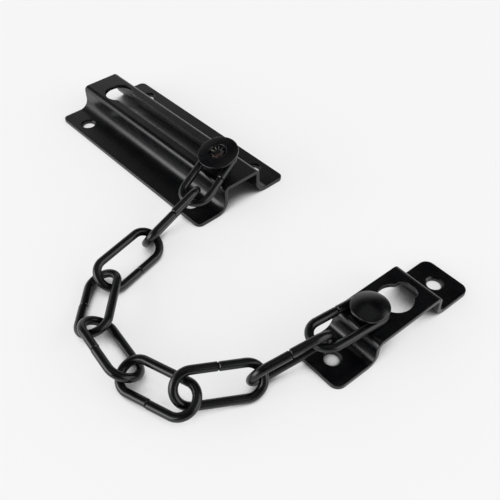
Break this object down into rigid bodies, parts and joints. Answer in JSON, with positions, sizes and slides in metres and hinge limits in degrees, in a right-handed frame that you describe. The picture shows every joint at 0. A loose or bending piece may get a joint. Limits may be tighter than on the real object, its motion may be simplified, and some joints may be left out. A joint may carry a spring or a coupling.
{
  "type": "door chain",
  "caption": "Door chain with a slotted track plate, a riveted slider stud, a slack chain of butted wire links and a bridge-shaped keeper with a parking keyhole, coated black.",
  "frame": {"origin": "middle of the track plate's four screw holes, on the face that lies against the door", "axes": "+Z out of the door face, +X along the slot towards its closed end, +Y across the track away from the slack chain"},
  "size_m": [0.1673, 0.1041, 0.0194],
  "materials": {
    "coated_sheet": "satin black coating on pressed steel sheet",
    "coated_wire": "satin black coating on bent steel wire",
    "coated_turned": "satin black coating on turned and peened steel"
  },
  "bodies": {
    "track": {"track_plate": "coated_sheet"},
    "slider": {"slider_stud": "coated_turned", "stud_disc": "coated_turned"},
    "link_1": {"link_1": "coated_wire"},
    "link_2": {"link_2": "coated_wire"},
    "link_3": {"link_3": "coated_wire"},
    "link_4": {"link_4": "coated_wire"},
    "link_5": {"link_5": "coated_wire"},
    "link_6": {"link_6": "coated_wire"},
    "link_7": {"link_7": "coated_wire"},
    "link_8": {"link_8": "coated_wire"},
    "link_9": {"link_9": "coated_wire"},
    "keeper": {"keeper_bracket": "coated_sheet", "keeper_rivet": "coated_turned"}
  },
  "joints": [
    {"name": "slider_slide", "type": "slide", "parent": "track", "child": "slider", "axis": [1, 0, 0], "range_m": [-0.055, 0.001]},
    {"name": "link_1_swing", "type": "hinge", "parent": "slider", "child": "link_1", "pos_m": [0.0333, 0, 0.01015], "axis": [0.009, -0.2587, 0.9659], "range_deg": [-60, 60]},
    {"name": "link_2_swing", "type": "hinge", "parent": "link_1", "child": "link_2", "pos_m": [0.037, -0.0155, 0.011], "axis": [0, 0, -1], "range_deg": [-45, 45]},
    {"name": "link_3_swing", "type": "hinge", "parent": "link_2", "child": "link_3", "pos_m": [0.04096, -0.03908, 0.005], "axis": [0, 0, 1], "range_deg": [-30, 30]},
    {"name": "link_4_swing", "type": "hinge", "parent": "link_3", "child": "link_4", "pos_m": [0.0481, -0.06039, 0.004], "axis": [0, 0, 1], "range_deg": [-28, 28]},
    {"name": "link_5_swing", "type": "hinge", "parent": "link_4", "child": "link_5", "pos_m": [0.05939, -0.07466, 0.0046], "axis": [0, 0, -1], "range_deg": [-25, 25]},
    {"name": "link_6_swing", "type": "hinge", "parent": "link_5", "child": "link_6", "pos_m": [0.07818, -0.07188, 0.0046], "axis": [0, 0, -1], "range_deg": [-25, 25]},
    {"name": "link_7_swing", "type": "hinge", "parent": "link_6", "child": "link_7", "pos_m": [0.09656, -0.06749, 0.007], "axis": [0, 0, 1], "range_deg": [-28, 28]},
    {"name": "link_8_swing", "type": "hinge", "parent": "link_7", "child": "link_8", "pos_m": [0.10597, -0.0495, 0.006], "axis": [0, 0, 1], "range_deg": [-30, 30]},
    {"name": "link_9_swing", "type": "hinge", "parent": "link_8", "child": "link_9", "pos_m": [0.11149, -0.02813, 0.0103], "axis": [0, 0, -1], "range_deg": [-60, 60]},
    {"name": "keeper_swing", "type": "hinge", "parent": "link_9", "child": "keeper", "pos_m": [0.11295, -0.01336, 0.0106], "axis": [0, 0, -1], "range_deg": [-60, 60]}
  ]
}
